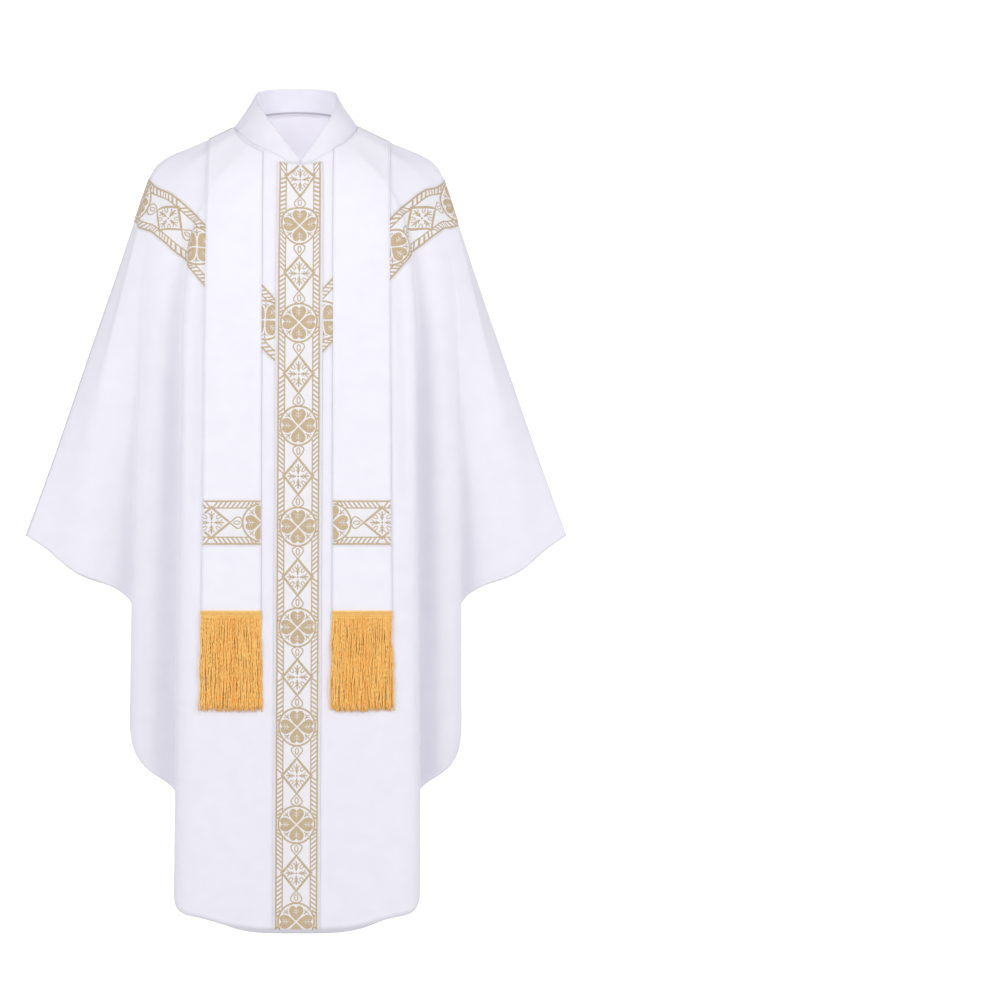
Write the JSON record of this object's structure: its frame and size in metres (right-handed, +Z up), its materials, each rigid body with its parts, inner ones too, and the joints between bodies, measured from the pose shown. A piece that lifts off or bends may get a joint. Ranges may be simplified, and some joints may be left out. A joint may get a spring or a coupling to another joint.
{
  "type": "chasuble",
  "caption": "White full-cut chasuble with a stand collar, woven gold galloon bands in a Y, and a matching stole with gold fringes.",
  "frame": {"origin": "middle of the neck opening, level with the sides of the neck seam", "axes": "+Z up, the front faces -Y, +X is to the right seen from the front"},
  "size_m": [0.86, 0.2984, 1.347],
  "materials": {
    "garment_cloth": "matt plain-woven polyester, white with a cool cast",
    "collar_cloth": "the garment's cloth, stiffened",
    "lining": "plain white lining",
    "interfacing": "stiff non-woven interlining",
    "seam_tape": "overlocked seam edge",
    "galloon": "white woven ribbon with gold thread ornament",
    "stole_cloth": "matt plain-woven polyester, white",
    "gold_fringe": "twisted rayon cords, orange gold"
  },
  "bodies": {
    "garment": {"front_panel": "garment_cloth", "back_panel": "garment_cloth", "collar_outer": "collar_cloth", "collar_interfacing": "interfacing", "collar_lining": "lining", "neck_seam_tape": "seam_tape", "front_orphrey": "galloon", "back_orphrey": "galloon", "shoulder_band_left": "galloon", "shoulder_band_right": "galloon", "stole_left_shoulder": "stole_cloth", "stole_right_shoulder": "stole_cloth"},
    "stole_left": {"stole_left_panel": "stole_cloth", "stole_left_lining": "lining", "stole_left_band": "galloon", "fringe_left_braid": "gold_fringe"},
    "fringe_left": {"fringe_left_cords": "gold_fringe"},
    "stole_right": {"stole_right_panel": "stole_cloth", "stole_right_lining": "lining", "stole_right_band": "galloon", "fringe_right_braid": "gold_fringe"},
    "fringe_right": {"fringe_right_cords": "gold_fringe"}
  },
  "joints": [
    {"name": "stole_left_swing", "type": "hinge", "parent": "garment", "child": "stole_left", "pos_m": [-0.09635, -0.1284, -0.205], "axis": [-0.9925, 0.1226, 0], "range_deg": [0, 60]},
    {"name": "fringe_left_swing", "type": "hinge", "parent": "stole_left", "child": "fringe_left", "pos_m": [-0.09928, -0.14794, -0.7815], "axis": [-0.9932, 0.1161, 0], "range_deg": [0, 60]},
    {"name": "stole_right_swing", "type": "hinge", "parent": "garment", "child": "stole_right", "pos_m": [0.1061, -0.12917, -0.205], "axis": [-0.9942, -0.1072, 0], "range_deg": [0, 60]},
    {"name": "fringe_right_swing", "type": "hinge", "parent": "stole_right", "child": "fringe_right", "pos_m": [0.10725, -0.14828, -0.7815], "axis": [-0.9935, -0.1141, 0], "range_deg": [0, 60]}
  ]
}
